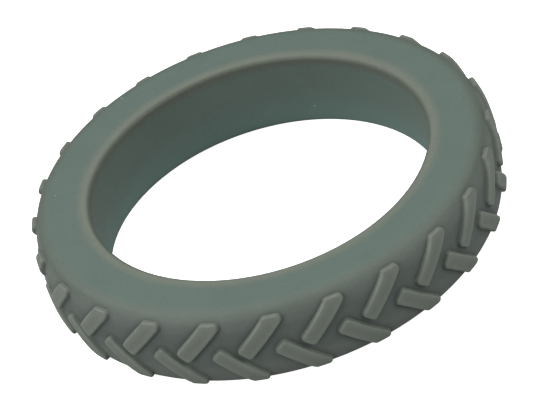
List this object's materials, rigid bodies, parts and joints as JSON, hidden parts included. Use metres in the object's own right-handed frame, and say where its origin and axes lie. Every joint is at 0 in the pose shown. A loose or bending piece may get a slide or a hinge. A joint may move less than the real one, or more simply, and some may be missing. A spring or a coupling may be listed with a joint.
{
  "type": "rubber tyre ring",
  "caption": "Soft solid rubber tyre ring with a plain bore, flat side faces, rounded shoulders and staggered slanted lugs that form an open chevron tread.",
  "frame": {"origin": "centre of the bore on the plane of the lower side face, on which the ring lies", "axes": "+Z along the ring's axis, from the lower side face to the upper one; an upper-row lug's inner end is centred on +X"},
  "size_m": [0.0882, 0.0882, 0.0159],
  "materials": {
    "band_rubber": "matte grey-green moulded silicone rubber, faintly mottled, the bore darker",
    "lug_rubber": "the same matte grey-green silicone rubber, slightly lighter and warmer on the lug tops"
  },
  "bodies": {
    "root": {"ring_band": "band_rubber", "upper_lug_01": "lug_rubber", "upper_lug_02": "lug_rubber", "upper_lug_03": "lug_rubber", "upper_lug_04": "lug_rubber", "upper_lug_05": "lug_rubber", "upper_lug_06": "lug_rubber", "upper_lug_07": "lug_rubber", "upper_lug_08": "lug_rubber", "upper_lug_09": "lug_rubber", "upper_lug_10": "lug_rubber", "upper_lug_11": "lug_rubber", "upper_lug_12": "lug_rubber", "upper_lug_13": "lug_rubber", "upper_lug_14": "lug_rubber", "upper_lug_15": "lug_rubber", "upper_lug_16": "lug_rubber", "upper_lug_17": "lug_rubber", "upper_lug_18": "lug_rubber", "upper_lug_19": "lug_rubber", "upper_lug_20": "lug_rubber", "upper_lug_21": "lug_rubber", "upper_lug_22": "lug_rubber", "upper_lug_23": "lug_rubber", "upper_lug_24": "lug_rubber", "lower_lug_01": "lug_rubber", "lower_lug_02": "lug_rubber", "lower_lug_03": "lug_rubber", "lower_lug_04": "lug_rubber", "lower_lug_05": "lug_rubber", "lower_lug_06": "lug_rubber", "lower_lug_07": "lug_rubber", "lower_lug_08": "lug_rubber", "lower_lug_09": "lug_rubber", "lower_lug_10": "lug_rubber", "lower_lug_11": "lug_rubber", "lower_lug_12": "lug_rubber", "lower_lug_13": "lug_rubber", "lower_lug_14": "lug_rubber", "lower_lug_15": "lug_rubber", "lower_lug_16": "lug_rubber", "lower_lug_17": "lug_rubber", "lower_lug_18": "lug_rubber", "lower_lug_19": "lug_rubber", "lower_lug_20": "lug_rubber", "lower_lug_21": "lug_rubber", "lower_lug_22": "lug_rubber", "lower_lug_23": "lug_rubber", "lower_lug_24": "lug_rubber"}
  },
  "joints": []
}
